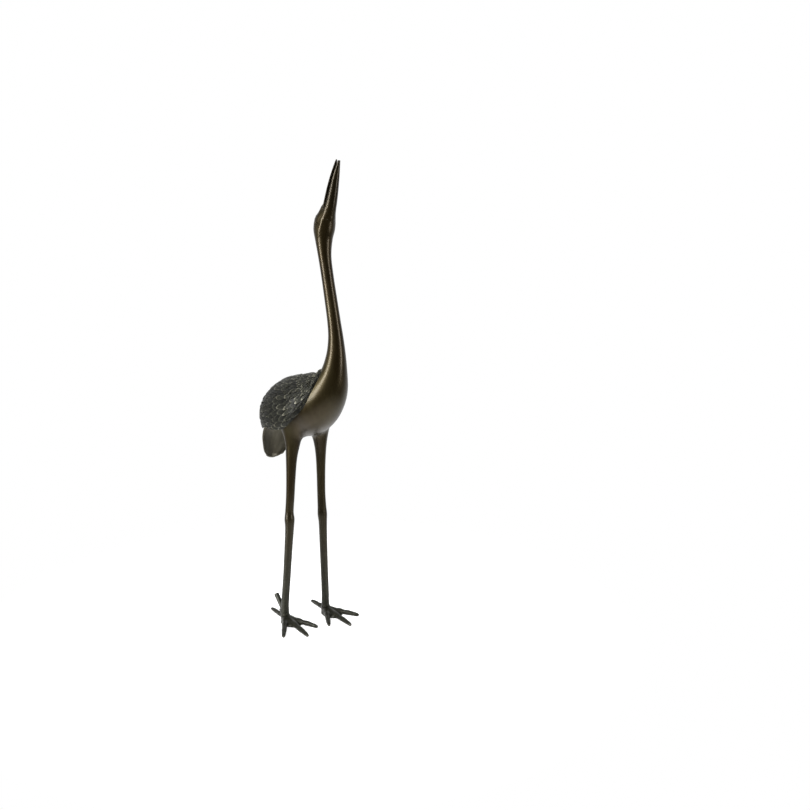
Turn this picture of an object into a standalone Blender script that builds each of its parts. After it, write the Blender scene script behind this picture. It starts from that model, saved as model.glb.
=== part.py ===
"""Crane garden statue: a cast bronze crane looking up, with a water pipe stub behind one ankle.

The bird faces -Y, its left side is +X, up is +Z, and it stands on the plane z = 0.
The casting is a free form, so its pose and carving are shares of the statue's height.
The pipe, its socket and the walls are real sizes of their own.
"""

import math

import bmesh
import bpy
from mathutils import Matrix, Vector

# Driving dimensions, in metres
HEIGHT = 1.22  # ground to the tip of the upper bill
TAIL_WALL = 0.0045  # thickness of the tail lobe
PIPE_DIAMETER = 0.0135
PIPE_WALL = 0.0015
PIPE_LENGTH = 0.054  # whole length of the stub, with what sits in the socket
PIPE_SEATED = 0.011  # length inside the socket
PIPE_RISE = math.radians(45)  # how far the stub points up from level
SOCKET_WALL = 0.003  # metal of the collar round the socket
SEAT_GAP = 0.0003  # clearance all round the pipe in its socket
SOCKET_RUNOUT = 0.008  # how far the bore runs on past the collar, where it clears the leg

# Everything below is in thousandths of the height, and angles are in degrees
UNIT = HEIGHT / 1000

# Trunk, neck and head, from rump to bill root.
# Each row: forward, up, lean of the section, half width, back depth, belly depth
SPINE = (
    (-118, 423, 66, 14, 10, 10),
    (-107, 436, 60, 34, 24, 26),
    (-88, 452, 50, 47, 36, 40),
    (-57, 470.5, 38, 58, 46, 52),
    (-18, 486.5, 27, 61, 52, 68),
    (22, 496.5, 22, 61, 54, 74),
    (59, 509.5, 28, 57, 48, 65.5),
    (86, 526.5, 42, 50, 40, 53),
    (108, 548.5, 60, 39.5, 31, 41),
    (124, 576, 76, 28.5, 24, 28.5),
    (132, 610, 86, 20.5, 19, 21.5),
    (133, 644, 94, 16, 15.5, 16),
    (128, 676.5, 100, 13.8, 13.8, 14),
    (118, 721.5, 103, 13, 13, 13),
    (107, 769, 102, 12.6, 12.6, 12.6),
    (98.5, 809, 98, 13.5, 13.5, 13.5),
    (96, 841, 90, 17.5, 17.5, 17.5),
    (98, 861.5, 82, 21, 24, 21),
    (101.5, 876.5, 74, 20.5, 25, 21),
    (103.5, 886, 71, 19, 21.5, 20.7),
    (106.5, 895, 68, 16, 14.5, 20),
    (110, 906.5, 65, 12.5, 8.5, 16.5),
)
SPINE_RING_STEP = 18
SPINE_COLUMNS = 26

# The two halves of the open bill, with rows as above
UPPER_BILL = (
    (100, 890.5, 66, 10.5, 11.5, 5),
    (109, 908.5, 68, 10, 8.2, 3),
    (118, 934.5, 70, 8.8, 6, 2.4),
    (130.5, 967, 70, 6.1, 4, 2),
    (145, 1000, 70, 1.6, 1.5, 1.2),
)
LOWER_BILL = (
    (106, 884, 62, 13.5, 4.6, 16),
    (118, 905.5, 66, 12.8, 3, 14),
    (129, 932.5, 70, 10.8, 2.6, 11),
    (140, 964, 72, 7.8, 2.2, 7.4),
    (152.5, 996, 73, 2.6, 1.6, 2.6),
)
BILL_RING_STEP = 14
BILL_COLUMNS = 13

# Feather mantle over the back, from neck to rump. Its sections are arches.
# Each row: forward, up, lean of the section, half width, depth, half turn of the arch
MANTLE = (
    (92, 562, 24, 45, 36, 88),
    (62, 561, 20, 56, 62, 95),
    (30, 558, 17, 65, 74, 104),
    (-4, 552.5, 17, 70, 81, 110),
    (-38, 543.5, 22, 71, 81, 111),
    (-72, 526.5, 31, 69, 75, 110),
    (-100, 502.5, 42, 64, 68, 104),
    (-116.5, 472.5, 54, 56, 60, 94),
    (-120, 443, 66, 47, 48, 82),
)
FEATHER_ROWS = 9
FEATHERS_ACROSS = 11
FEATHER_STEPS = 4  # mesh columns in one feather
FEATHER_GROWTH = 2.4  # how much shorter than average the first feathers are; the last are longest
FEATHER_SCALLOP = 0.42  # how far a feather's round end reaches, as a share of its row
FEATHER_LIFT = 3.4
FEATHER_VALLEY = 1.7
MANTLE_DEPTH_SHARE = 0.3  # how deep the mantle's hidden side lies in the trunk

# Tail lobe, hanging from under the mantle. Each row: forward, up, half width, cupping
TAIL = (
    (-88, 449, 26, 6),
    (-107, 428, 35, 9),
    (-117, 403, 38, 12),
    (-121, 379, 35.5, 13),
    (-123, 360, 30.5, 11),
    (-123, 348.5, 23, 7),
)
TAIL_STEPS = 10

# Legs from the trunk to the ankle. Each row: side, forward, up, radius
RIGHT_LEG = (
    (-33, 14, 472.5, 34),
    (-35, 18, 443, 25),
    (-37, 19, 411, 16.5),
    (-39.5, 17, 378, 12.3),
    (-40.5, 14, 333.5, 10.2),
    (-41.5, 11, 288.5, 9.3),
    (-42.5, 8, 256, 9.3),
    (-43, 8.5, 238, 11),
    (-43.5, 8.3, 218, 9.8),
    (-45, 4.7, 174, 9),
    (-47, -2, 104.5, 8.7),
    (-48.5, -9, 45, 8.7),
    (-49, -10, 18, 9),
    (-49, -9.5, 8, 9.6),
    (-49, -9, -3, 8.8),
)
LEFT_LEG = (
    (33, 14, 472.5, 33),
    (34, 17, 439, 23.5),
    (36, 17, 407, 15.5),
    (38, 15, 375, 11.6),
    (39.5, 12.4, 333.5, 9.8),
    (40.5, 10.8, 285.5, 9.2),
    (41.5, 11, 252, 9.8),
    (42, 11.4, 234, 10.7),
    (42.5, 12, 214, 9.4),
    (44, 10.4, 174, 8.9),
    (46.5, 8.8, 104.5, 8.6),
    (48.5, 8, 45, 8.6),
    (49, 7, 18, 9),
    (49, 7.5, 8, 9.6),
    (49, 8, -3, 8.8),
)

LEG_RINGS_PER_ROW = 1.5

# Each toe: direction from straight ahead towards +X, length, and girth beside the profile's
RIGHT_TOES = ((-35, 96, 1), (-6.5, 109, 1), (19, 89, 1), (176, 68, 0.75))
LEFT_TOES = ((-30, 88, 1), (-3.5, 106, 1), (27, 84.5, 1), (177, 63, 0.75))
# Along a toe of full girth: share of its length, height of its middle and radius
TOE_PROFILE = (
    (-0.04, 5.8, 7.2),
    (0.16, 5.4, 7.0),
    (0.3, 4.7, 5.9),
    (0.42, 5.1, 6.4),
    (0.55, 4.4, 5.4),
    (0.67, 4.6, 5.7),
    (0.8, 3.9, 4.8),
    (0.87, 3.8, 4.4),
    (0.95, 3.0, 3.4),
    (1.0, 2.2, 2.0),
)
PALM_LEAD = 23  # how far the middle of the palm lies ahead of the ankle
PALM_SIZE = (21, 29, 8)  # half width, half length and height
PALM_SEGMENTS = 12

PIPE_SIDE, PIPE_FORWARD, PIPE_UP = -49.5, -20, 25  # middle of the socket's mouth
COLLAR_ROOT = 14  # how far the collar runs back into the heel
PIPE_SIDES = 32
TINY_MERGE = 0.00001


def catmull(a, b, c, d, t):
    """Smooth value between b and c, with a and d beyond them."""
    return 0.5 * (
        2 * b
        + (c - a) * t
        + (2 * a - 5 * b + 4 * c - d) * t**2
        + (3 * b - a - 3 * c + d) * t**3
    )


def row_at(rows, place):
    """The row at a place counted in rows, smoothly between the given ones."""
    place = min(max(place, 0.0), len(rows) - 1.0)
    start = min(int(place), len(rows) - 2)
    around = [rows[min(max(start + k, 0), len(rows) - 1)] for k in (-1, 0, 1, 2)]
    return [catmull(*values, place - start) for values in zip(*around)]


def even_places(rows, step):
    """Places along the rows about a step apart, measured between forward and up."""
    places = [0.0]
    for start in range(len(rows) - 1):
        span = math.dist(rows[start][:2], rows[start + 1][:2])
        parts = max(1, round(span / step))
        places += [start + (k + 1) / parts for k in range(parts)]
    return places


def outward(lean):
    """Direction from the middle of a section towards the back: 0 is up, 90 is backward."""
    return Vector((0, math.sin(math.radians(lean)), math.cos(math.radians(lean))))


def finish_mesh(mesh):
    """Turn the faces out and shade the mesh smooth, with its sharp edges kept."""
    shaped = bmesh.new()
    shaped.from_mesh(mesh)
    bmesh.ops.remove_doubles(shaped, verts=shaped.verts, dist=TINY_MERGE)
    bmesh.ops.recalc_face_normals(shaped, faces=shaped.faces)
    shaped.to_mesh(mesh)
    shaped.free()
    mesh.shade_smooth()
    mesh.set_sharp_from_angle(angle=math.radians(40))


def mesh_object(name, points, faces, collection):
    """An object made from points in thousandths of the height."""
    mesh = bpy.data.meshes.new(name)
    mesh.from_pydata([point * UNIT for point in points], [], faces)
    finish_mesh(mesh)
    obj = bpy.data.objects.new(name, mesh)
    collection.objects.link(obj)
    return obj


def grid_faces(rows, columns, closed):
    """Quads between rows of points, joined round the end of each row where closed."""
    faces = []
    for row in range(rows - 1):
        for column in range(columns if closed else columns - 1):
            beside = (column + 1) % columns
            low, high = row * columns, (row + 1) * columns
            faces.append((low + column, low + beside, high + beside, high + column))
    return faces


def loft(name, rows, step, columns, collection):
    """Closed body through egg-shaped sections with a flat cap at each end."""
    places = even_places(rows, step)
    points = []
    for place in places:
        forward, up, lean, half_width, back, belly = row_at(rows, place)
        for column in range(columns):
            turn = 2 * math.pi * column / columns
            depth = back if math.cos(turn) > 0 else belly
            points.append(
                Vector((half_width * math.sin(turn), -forward, up))
                + outward(lean) * depth * math.cos(turn)
            )
    faces = grid_faces(len(places), columns, closed=True)
    faces.append(tuple(range(columns)))
    faces.append(tuple((len(places) - 1) * columns + column for column in range(columns)))
    return mesh_object(name, points, faces, collection)


def mantle_place(row):
    """Place along the mantle for a feather row, with rows widening towards the rump."""
    share = min(max(row / FEATHER_ROWS, 0.0), 1.0)
    widened = share * (1 + (FEATHER_GROWTH - 1) * share) / FEATHER_GROWTH
    return widened * (len(MANTLE) - 1)


def mantle_point(place, across):
    """Point of the bare mantle, its outward normal and the middle of its section."""
    forward, up, lean, half_width, depth, half_turn = row_at(MANTLE, place)
    turn = math.radians(half_turn) * across
    out = outward(lean)
    middle = Vector((0, -forward, up)) - out * depth
    point = middle + Vector((half_width * math.sin(turn), 0, 0)) + out * depth * math.cos(turn)
    normal = Vector((math.sin(turn) / half_width, 0, 0)) + out * math.cos(turn) / depth
    return point, normal.normalized(), middle


def feather_across(column, row):
    """Place across one feather, from -1 to 1, in rows that are set half a feather apart."""
    shift = FEATHER_STEPS / 2 if row % 2 else 0
    return 2 * (((column + shift) % FEATHER_STEPS) / FEATHER_STEPS) - 1


def feather_end(column, row):
    """Row coordinate of the scalloped line where a row of feathers ends."""
    if row < 0:
        return 0.0
    across = feather_across(column, row)
    return row + 1 - FEATHER_SCALLOP * abs(across) ** 3


def mantle(collection):
    """Mantle of overlapping feathers, closed by a hidden side inside the trunk."""
    columns = FEATHERS_ACROSS * FEATHER_STEPS + 1
    outer, inner = [], []
    for row in range(FEATHER_ROWS):
        for share in (0.02, 0.4, 0.75, 1.0):
            for column in range(columns):
                start = feather_end(column, row - 1)
                along = start + (feather_end(column, row) - start) * share
                bulge = 1 - feather_across(column, row) ** 2
                lift = FEATHER_LIFT * share + FEATHER_VALLEY * bulge * share
                point, normal, middle = mantle_point(mantle_place(along), 2 * column / (columns - 1) - 1)
                outer.append(point + normal * lift)
                inner.append(point.lerp(middle, MANTLE_DEPTH_SHARE))
    rows = len(outer) // columns
    faces = grid_faces(rows, columns, closed=False)
    count = rows * columns
    faces += [tuple(corner + count for corner in face) for face in faces]
    rim = list(range(columns))
    rim += [row * columns + columns - 1 for row in range(1, rows)]
    rim += [(rows - 1) * columns + column for column in range(columns - 2, -1, -1)]
    rim += [row * columns for row in range(rows - 2, 0, -1)]
    faces += [(a, b, b + count, a + count) for a, b in zip(rim, rim[1:] + rim[:1])]
    return mesh_object("mantle", outer + inner, faces, collection)


def tail(collection):
    """Cupped tail lobe: an open surface given the thickness of its wall."""
    points = []
    places = even_places(TAIL, TAIL_STEPS)
    for place in places:
        forward, up, half_width, cupping = row_at(TAIL, place)
        for step in range(TAIL_STEPS + 1):
            across = 2 * step / TAIL_STEPS - 1
            droop = 9 * across**2 * place / (len(TAIL) - 1)
            points.append(Vector((half_width * across, -forward - cupping * across**2, up + droop)))
    faces = grid_faces(len(places), TAIL_STEPS + 1, closed=False)
    obj = mesh_object("tail", points, faces, collection)
    wall = obj.modifiers.new("wall", "SOLIDIFY")
    wall.thickness = TAIL_WALL
    wall.offset = 0
    return obj


def limb(name, points, sides_resolution, collection):
    """Round limb along points of side, forward, up and radius, made as a capped curve."""
    curve = bpy.data.curves.new(name, "CURVE")
    curve.dimensions = "3D"
    curve.bevel_depth = UNIT
    curve.bevel_resolution = sides_resolution
    curve.use_fill_caps = True
    spline = curve.splines.new("POLY")
    spline.points.add(len(points) - 1)
    for target, (side, forward, up, radius) in zip(spline.points, points):
        target.co = (side * UNIT, -forward * UNIT, up * UNIT, 1)
        target.radius = radius
    guide = bpy.data.objects.new(name + "_line", curve)
    collection.objects.link(guide)
    bpy.context.view_layer.update()
    evaluated = guide.evaluated_get(bpy.context.evaluated_depsgraph_get())
    mesh = bpy.data.meshes.new_from_object(evaluated)
    finish_mesh(mesh)
    obj = bpy.data.objects.new(name, mesh)
    obj.matrix_world = guide.matrix_world
    collection.objects.link(obj)
    bpy.data.objects.remove(guide)
    return obj


def leg(name, rows, collection):
    """Leg through its rows, three rings to every two rows."""
    last = len(rows) - 1
    rings = round(LEG_RINGS_PER_ROW * last)
    points = [row_at(rows, last * ring / rings) for ring in range(rings + 1)]
    return limb(name, points, 3, collection)


def toes(side, leg_rows, directions, collection):
    """Toes that spread from an ankle, each with knuckles and a claw."""
    root_side, root_forward = leg_rows[-1][:2]
    for number, (heading, length, girth) in enumerate(directions):
        heading = math.radians(heading)
        points = []
        for share, up, radius in TOE_PROFILE:
            points.append((
                root_side + math.sin(heading) * length * share,
                root_forward + math.cos(heading) * length * share,
                up * girth,
                radius * girth,
            ))
        limb(f"{side}_toe_{number + 1}", points, 2, collection)


def palm(side, leg_rows, collection):
    """Flattened pad that joins the roots of the front toes."""
    root_side, root_forward = leg_rows[-1][:2]
    place = Vector((root_side, -root_forward - PALM_LEAD, 0)) * UNIT
    shaped = bmesh.new()
    bmesh.ops.create_uvsphere(
        shaped,
        u_segments=PALM_SEGMENTS,
        v_segments=PALM_SEGMENTS // 2,
        radius=1,
        matrix=Matrix.LocRotScale(place, None, Vector(PALM_SIZE) * UNIT),
    )
    mesh = bpy.data.meshes.new(side + "_palm")
    shaped.to_mesh(mesh)
    shaped.free()
    collection.objects.link(bpy.data.objects.new(mesh.name, mesh))


def pipe_matrix(beyond):
    """Placement on the pipe's axis, a distance beyond the socket's mouth, with local +Z outward."""
    place = Vector((PIPE_SIDE, -PIPE_FORWARD, PIPE_UP)) * UNIT
    axis = Vector((0, math.cos(PIPE_RISE), math.sin(PIPE_RISE)))
    turn = axis.to_track_quat("Z", "X").to_matrix().to_4x4()
    return Matrix.Translation(place + axis * beyond) @ turn


def cylinder(name, radius, start, end, collection):
    """Cylinder on the pipe's axis between two distances from the socket's mouth."""
    shaped = bmesh.new()
    bmesh.ops.create_cone(
        shaped,
        cap_ends=True,
        segments=PIPE_SIDES,
        radius1=radius,
        radius2=radius,
        depth=end - start,
    )
    mesh = bpy.data.meshes.new(name)
    shaped.to_mesh(mesh)
    shaped.free()
    obj = bpy.data.objects.new(name, mesh)
    obj.matrix_world = pipe_matrix((start + end) / 2)
    collection.objects.link(obj)
    return obj


def water_pipe(collection):
    """Open pipe stub, turned from its wall's outline."""
    outer = PIPE_DIAMETER / 2
    inner = outer - PIPE_WALL
    outline = ((outer, PIPE_LENGTH), (outer, 0), (inner, 0), (inner, PIPE_LENGTH))
    mesh = bpy.data.meshes.new("water_inlet_pipe")
    edges = [(corner, (corner + 1) % len(outline)) for corner in range(len(outline))]
    mesh.from_pydata([(radius, 0, up) for radius, up in outline], edges, [])
    obj = bpy.data.objects.new("water_inlet_pipe", mesh)
    turned = obj.modifiers.new("turned", "SCREW")
    turned.steps = PIPE_SIDES
    turned.render_steps = PIPE_SIDES
    turned.use_merge_vertices = True
    turned.merge_threshold = TINY_MERGE
    obj.matrix_world = pipe_matrix(-PIPE_SEATED)
    collection.objects.link(obj)
    return obj


def ground_cutter(collection):
    """Block below the ground that cuts the soles flat."""
    shaped = bmesh.new()
    bmesh.ops.create_cube(shaped, size=HEIGHT)
    mesh = bpy.data.meshes.new("ground")
    shaped.to_mesh(mesh)
    shaped.free()
    obj = bpy.data.objects.new("ground", mesh)
    obj.location.z = -HEIGHT / 2
    collection.objects.link(obj)
    return obj


def bronze(name, color, roughness):
    """Patinated bronze."""
    material = bpy.data.materials.new(name)
    material.use_nodes = True
    shader = material.node_tree.nodes["Principled BSDF"]
    shader.inputs["Base Color"].default_value = (*color, 1)
    shader.inputs["Metallic"].default_value = 1.0
    shader.inputs["Roughness"].default_value = roughness
    return material


def boolean(obj, operation, collection):
    """Join or cut an object by every object of a collection."""
    modifier = obj.modifiers.new(operation.lower(), "BOOLEAN")
    modifier.operation = operation
    modifier.operand_type = "COLLECTION"
    modifier.collection = collection
    modifier.solver = "EXACT"


def evaluated_box(objects):
    """Lowest and highest corner of the finished objects."""
    bpy.context.view_layer.update()
    depsgraph = bpy.context.evaluated_depsgraph_get()
    corners = []
    for obj in objects:
        evaluated = obj.evaluated_get(depsgraph)
        corners += [evaluated.matrix_world @ vertex.co for vertex in evaluated.data.vertices]
    low = Vector([min(corner[axis] for corner in corners) for axis in range(3)])
    high = Vector([max(corner[axis] for corner in corners) for axis in range(3)])
    return low, high


def new_collection(name):
    """Collection linked to the scene."""
    collection = bpy.data.collections.new(name)
    bpy.context.scene.collection.children.link(collection)
    return collection


def main():
    for obj in list(bpy.data.objects):
        bpy.data.objects.remove(obj)
    statue = new_collection("crane_statue")
    forms = new_collection("joined_forms")
    cutters = new_collection("cutters")

    crane = loft("crane", SPINE, SPINE_RING_STEP, SPINE_COLUMNS, statue)
    crane.data.materials.append(bronze("dark_bronze", (0.045, 0.037, 0.022), 0.34))
    loft("upper_bill", UPPER_BILL, BILL_RING_STEP, BILL_COLUMNS, forms)
    loft("lower_bill", LOWER_BILL, BILL_RING_STEP, BILL_COLUMNS, forms)
    mantle(forms)
    tail(forms)
    leg("right_leg", RIGHT_LEG, forms)
    leg("left_leg", LEFT_LEG, forms)
    toes("right", RIGHT_LEG, RIGHT_TOES, forms)
    toes("left", LEFT_LEG, LEFT_TOES, forms)
    palm("right", RIGHT_LEG, forms)
    palm("left", LEFT_LEG, forms)
    socket_radius = PIPE_DIAMETER / 2 + SEAT_GAP
    cylinder("collar", socket_radius + SOCKET_WALL, -COLLAR_ROOT * UNIT, 0, forms)
    cylinder("socket", socket_radius, -PIPE_SEATED - SEAT_GAP, SOCKET_RUNOUT, cutters)
    ground_cutter(cutters)
    boolean(crane, "UNION", forms)
    boolean(crane, "DIFFERENCE", cutters)

    pipe = water_pipe(statue)
    pipe.data.materials.append(bronze("pipe_bronze", (0.06, 0.05, 0.035), 0.4))

    for collection in (forms, cutters):
        for obj in collection.objects:
            obj.hide_render = True
            obj.display_type = "WIRE"

    low, high = evaluated_box((crane, pipe))
    origin = bpy.data.objects.new("statue_origin", None)
    statue.objects.link(origin)
    for collection in (statue, forms, cutters):
        for obj in collection.objects:
            if obj != origin:
                obj.parent = origin
    origin.location = (-(low.x + high.x) / 2, -(low.y + high.y) / 2, -low.z)


main()
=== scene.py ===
"""Looks of the crane garden statue: its skin and feathers, patina, floor, light and camera."""

import math

import bmesh
import bpy
import numpy as np
from mathutils import Matrix, Vector
from mathutils.bvhtree import BVHTree
from mathutils.kdtree import KDTree


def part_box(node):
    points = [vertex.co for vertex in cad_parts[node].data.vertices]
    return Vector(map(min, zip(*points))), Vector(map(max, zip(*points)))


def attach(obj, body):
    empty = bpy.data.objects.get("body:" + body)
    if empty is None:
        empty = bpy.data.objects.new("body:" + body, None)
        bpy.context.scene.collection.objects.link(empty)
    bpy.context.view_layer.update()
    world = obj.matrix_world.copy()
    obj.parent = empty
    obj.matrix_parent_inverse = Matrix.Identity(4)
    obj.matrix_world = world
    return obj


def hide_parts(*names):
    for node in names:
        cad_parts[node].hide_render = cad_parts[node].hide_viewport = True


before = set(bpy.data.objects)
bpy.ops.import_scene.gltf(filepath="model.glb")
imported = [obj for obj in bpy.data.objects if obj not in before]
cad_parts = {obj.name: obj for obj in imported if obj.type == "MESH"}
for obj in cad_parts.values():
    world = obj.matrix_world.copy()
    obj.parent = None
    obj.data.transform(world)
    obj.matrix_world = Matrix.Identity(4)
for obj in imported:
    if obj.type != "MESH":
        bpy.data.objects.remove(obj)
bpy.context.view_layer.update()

# The statue's forms are in thousandths of its height
HEIGHT = 1.22
UNIT = HEIGHT / 1000

# Pipe stub behind the right ankle in metres, and its collar's depth and place in thousandths
PIPE_DIAMETER = 0.0135
PIPE_WALL = 0.0015
PIPE_LENGTH = 0.054
PIPE_SEATED = 0.011
PIPE_RISE = math.radians(45)
PIPE_LIP = 0.0005
COLLAR_WALL = 0.0033
COLLAR_DEPTH = 14
PIPE_SIDE, PIPE_FORWARD, PIPE_UP = -49.5, -20, 25

# Trunk, neck and head. Each row: forward, up, lean, half width, back depth, belly depth
SPINE = (
    (-118, 423, 66, 14, 10, 10),
    (-107, 436, 60, 34, 24, 26),
    (-88, 452, 50, 47, 36, 40),
    (-57, 470.5, 38, 58, 46, 52),
    (-18, 486.5, 27, 61, 52, 68),
    (22, 496.5, 22, 61, 54, 74),
    (59, 509.5, 28, 57, 48, 65.5),
    (86, 526.5, 42, 50, 40, 53),
    (108, 548.5, 60, 39.5, 31, 41),
    (124, 576, 76, 28.5, 24, 28.5),
    (132, 610, 86, 20.5, 19, 21.5),
    (133, 644, 94, 16, 15.5, 16),
    (128, 676.5, 100, 13.8, 13.8, 14),
    (118, 721.5, 103, 13, 13, 13),
    (107, 769, 102, 12.6, 12.6, 12.6),
    (98.5, 809, 98, 13.5, 13.5, 13.5),
    (96, 841, 90, 17.5, 17.5, 17.5),
    (98, 861.5, 82, 21, 24, 21),
    (101.5, 876.5, 74, 20.5, 25, 21),
    (103.5, 886, 71, 19, 21.5, 20.7),
    (106.5, 895, 68, 16, 14.5, 20),
    (110, 906.5, 65, 12.5, 8.5, 16.5),
)
# The grid is this many times denser from the head's row on
HEAD_ROW = 16
HEAD_DENSITY = 3.2
# Feather buds on the crown: first and last row, half turn covered, height, and number to a row
CROWN_ROWS = (17.3, 19.8)
CROWN_HALF_TURN = 78
BUD_HEIGHT = 0.75
BUDS = 8
# Eyes: row, turn from the back, radius, and the lid's radius, thickness, step outward and stretch
EYE_ROW = 17.9
EYE_TURN = 84
EYE_RADIUS = 3.1
LID_RADIUS = 3.3
LID_THICKNESS = 0.6
LID_OUT = 0.7
LID_STRETCH = 1.15
UPPER_BILL = (
    (100, 890.5, 66, 10.5, 11.5, 5),
    (109, 908.5, 68, 10, 8.2, 3),
    (118, 934.5, 70, 8.8, 6, 2.4),
    (130.5, 967, 70, 6.1, 4, 2),
    (145, 1000, 70, 1.6, 1.5, 1.2),
)
LOWER_BILL = (
    (100, 862, 66, 12.5, 5, 13.5),
    (106, 884, 62, 13.5, 4.6, 16),
    (118, 905.5, 66, 12.8, 3, 14),
    (129, 932.5, 70, 10.8, 2.6, 11),
    (140, 964, 72, 7.8, 2.2, 7.4),
    (152.5, 996, 73, 2.6, 1.6, 2.6),
)

# Feather mantle. Each row: forward, up, lean, half width, depth, half turn of the arch
MANTLE = (
    (102, 583, 72, 32, 27, 70),
    (84, 568.5, 44, 43, 38, 88),
    (60, 561.5, 22, 55, 61, 95),
    (30, 558, 17, 65, 74, 104),
    (-4, 552.5, 17, 70, 81, 110),
    (-38, 543.5, 22, 71, 81, 111),
    (-72, 526.5, 31, 69, 75, 110),
    (-100, 502.5, 42, 64, 68, 104),
    (-116.5, 472.5, 54, 56, 60, 94),
    (-120, 443, 66, 47, 48, 82),
    (-130, 428, 84, 40, 40, 80),
    (-123, 411, 104, 30, 31, 76),
)
# The last rows hang over the rump only, and fade out between these shares of the half turn
RUMP_ROWS = 2
RUMP_EDGE = (0.36, 0.58)
FEATHER_ROWS = 15
FEATHERS_ACROSS = 25
# How many times longer the feathers are made towards the rear
FEATHER_GROWTH = 2.5
# Grid lines to a feather, across and along
FEATHER_COLUMNS = 12
FEATHER_LINES = 12
# How far the mantle's front edge dips into the chest
SINK = 3.5
# Extra height at the shoulders and over the rump, where the trunk is widest
SHOULDER_SWELL = 2.2
RUMP_SWELL = 8.5
# Hidden point inside the trunk where the mantle's edges meet: side, back and up
MANTLE_CORE = (0, 30, 490)

# Tail lobe. Each row: forward, up, half width, cupping
TAIL = (
    (-88, 449, 26, 6),
    (-107, 428, 35, 9),
    (-117, 403, 38, 12),
    (-121, 379, 35.5, 13),
    (-123, 360, 30.5, 11),
    (-123, 348.5, 23, 7),
)
TAIL_WALL = 3.7
TAIL_FEATHERS = 7

# Legs. Each row: side, forward, up, radius
RIGHT_LEG = (
    (-33, 14, 472.5, 34),
    (-35, 18, 443, 25),
    (-37, 19, 411, 16.5),
    (-39.5, 17, 378, 12.3),
    (-40.5, 14, 333.5, 10.2),
    (-41.5, 11, 288.5, 9.3),
    (-42.5, 8, 256, 9.3),
    (-43, 8.5, 238, 11),
    (-43.5, 8.3, 218, 9.8),
    (-45, 4.7, 174, 9),
    (-47, -2, 104.5, 8.7),
    (-48.5, -9, 45, 8.7),
    (-49, -10, 18, 9),
    (-49, -9.5, 8, 9.6),
    (-49, -9, -3, 8.8),
)
LEFT_LEG = (
    (33, 14, 472.5, 33),
    (34, 17, 439, 23.5),
    (36, 17, 407, 15.5),
    (38, 15, 375, 11.6),
    (39.5, 12.4, 333.5, 9.8),
    (40.5, 10.8, 285.5, 9.2),
    (41.5, 11, 252, 9.8),
    (42, 11.4, 234, 10.7),
    (42.5, 12, 214, 9.4),
    (44, 10.4, 174, 8.9),
    (46.5, 8.8, 104.5, 8.6),
    (48.5, 8, 45, 8.6),
    (49, 7, 18, 9),
    (49, 7.5, 8, 9.6),
    (49, 8, -3, 8.8),
)
LEG_JOINT_UP = 238
KNEE_ROW = 6
SHANK_DENSITY = 2.5
SCUTE_SPACING = 3.9
SCUTE_DEPTH = 0.34

# Toes: direction from straight ahead towards the left, length, and girth beside the profile's
RIGHT_TOES = ((-35, 96, 1), (-6.5, 109, 1), (19, 89, 1), (176, 68, 0.85))
LEFT_TOES = ((-30, 88, 1), (-3.5, 106, 1), (27, 84.5, 1), (177, 63, 0.85))
TOE_PROFILE = (
    (-0.04, 5.8, 7.2),
    (0.16, 5.4, 7.0),
    (0.3, 4.7, 5.9),
    (0.42, 5.1, 6.4),
    (0.55, 4.4, 5.4),
    (0.67, 4.6, 5.7),
    (0.8, 4.2, 5.1),
    (0.87, 4.0, 4.7),
    (0.95, 3.5, 4.0),
    (1.0, 2.6, 2.8),
)
CLAW_START = 0.86
TOE_SCUTES = 24
PALM_LEAD = 23
PALM_SIZE = (21, 29, 8)

# Soft blends at the joins: lowest and highest place, radius, and reach from the join
BLENDS = ((395, 530, 18, 60), (840, 925, 7, 60), (-5, 60, 5, 30))
# Passes of the blend, of the smoothing along the joins, and of the repair of folded faces
BLEND_STEPS = 3
JOIN_SMOOTHING = 20
FOLD_ANGLE = math.radians(105)
FOLD_SMOOTHING = 30
FOLD_PASSES = 3

# Lengths in metres: gaps that count as closed at a seam and a rim, slivers, and near contact
SEAM_GAP = 0.000002
RIM_GAP = 0.000001
SLIVER = 0.0003
CONTACT = 0.00001

# Grids of the forms: divisions around and along
BODY_GRID = (112, 340)
BILL_GRID = (48, 90)
LEG_GRID = (36, 480)
TOE_GRID = (24, 100)
TAIL_GRID = (150, 150)

# Angles in degrees above which an edge stays sharp
SKIN_EDGE = 50
FEATHER_EDGE = 55
SMALL_EDGE = 40

# Patina colours, among them painted shade for the hollows and the head, and rubbed metal with
# painted highlight
BROWN = (0.027, 0.018, 0.005)
UMBER = (0.017, 0.011, 0.003)
OLIVE = (0.042, 0.034, 0.013)
GREY_GREEN = (0.024, 0.025, 0.016)
SLATE = (0.014, 0.014, 0.010)
LEG_SHADE = (0.012, 0.011, 0.006)
# Painted shade: the head and bill darken towards this colour upward
HEAD_PAINTED_SHADE = (0.008, 0.006, 0.002)
# Painted shade in the hollows and creases of the smooth casting
PAINTED_HOLLOW_SHADE = (0.004, 0.003, 0.002)
# Painted shade at the feathers' roots and in the hollows of the feathers, tail and pipe
PAINTED_DEEP_SHADE = (0.003, 0.003, 0.002)
# Rubbed metal with a painted highlight, on worn edges and raised feathers
RUBBED_AND_HIGHLIGHT = (0.11, 0.105, 0.08)
# Tail patina, painted lighter to stand in for the floor light it reflects
TAIL_COLORS_WITH_REFLECTION = ((0.045, 0.039, 0.025), (0.12, 0.11, 0.08))
PIPE_COLORS = ((0.016, 0.017, 0.012), (0.034, 0.034, 0.025))
TAIL_ROUGHNESS = 0.42
PIPE_ROUGHNESS = 0.45
METAL_SHARE = 0.75

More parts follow.
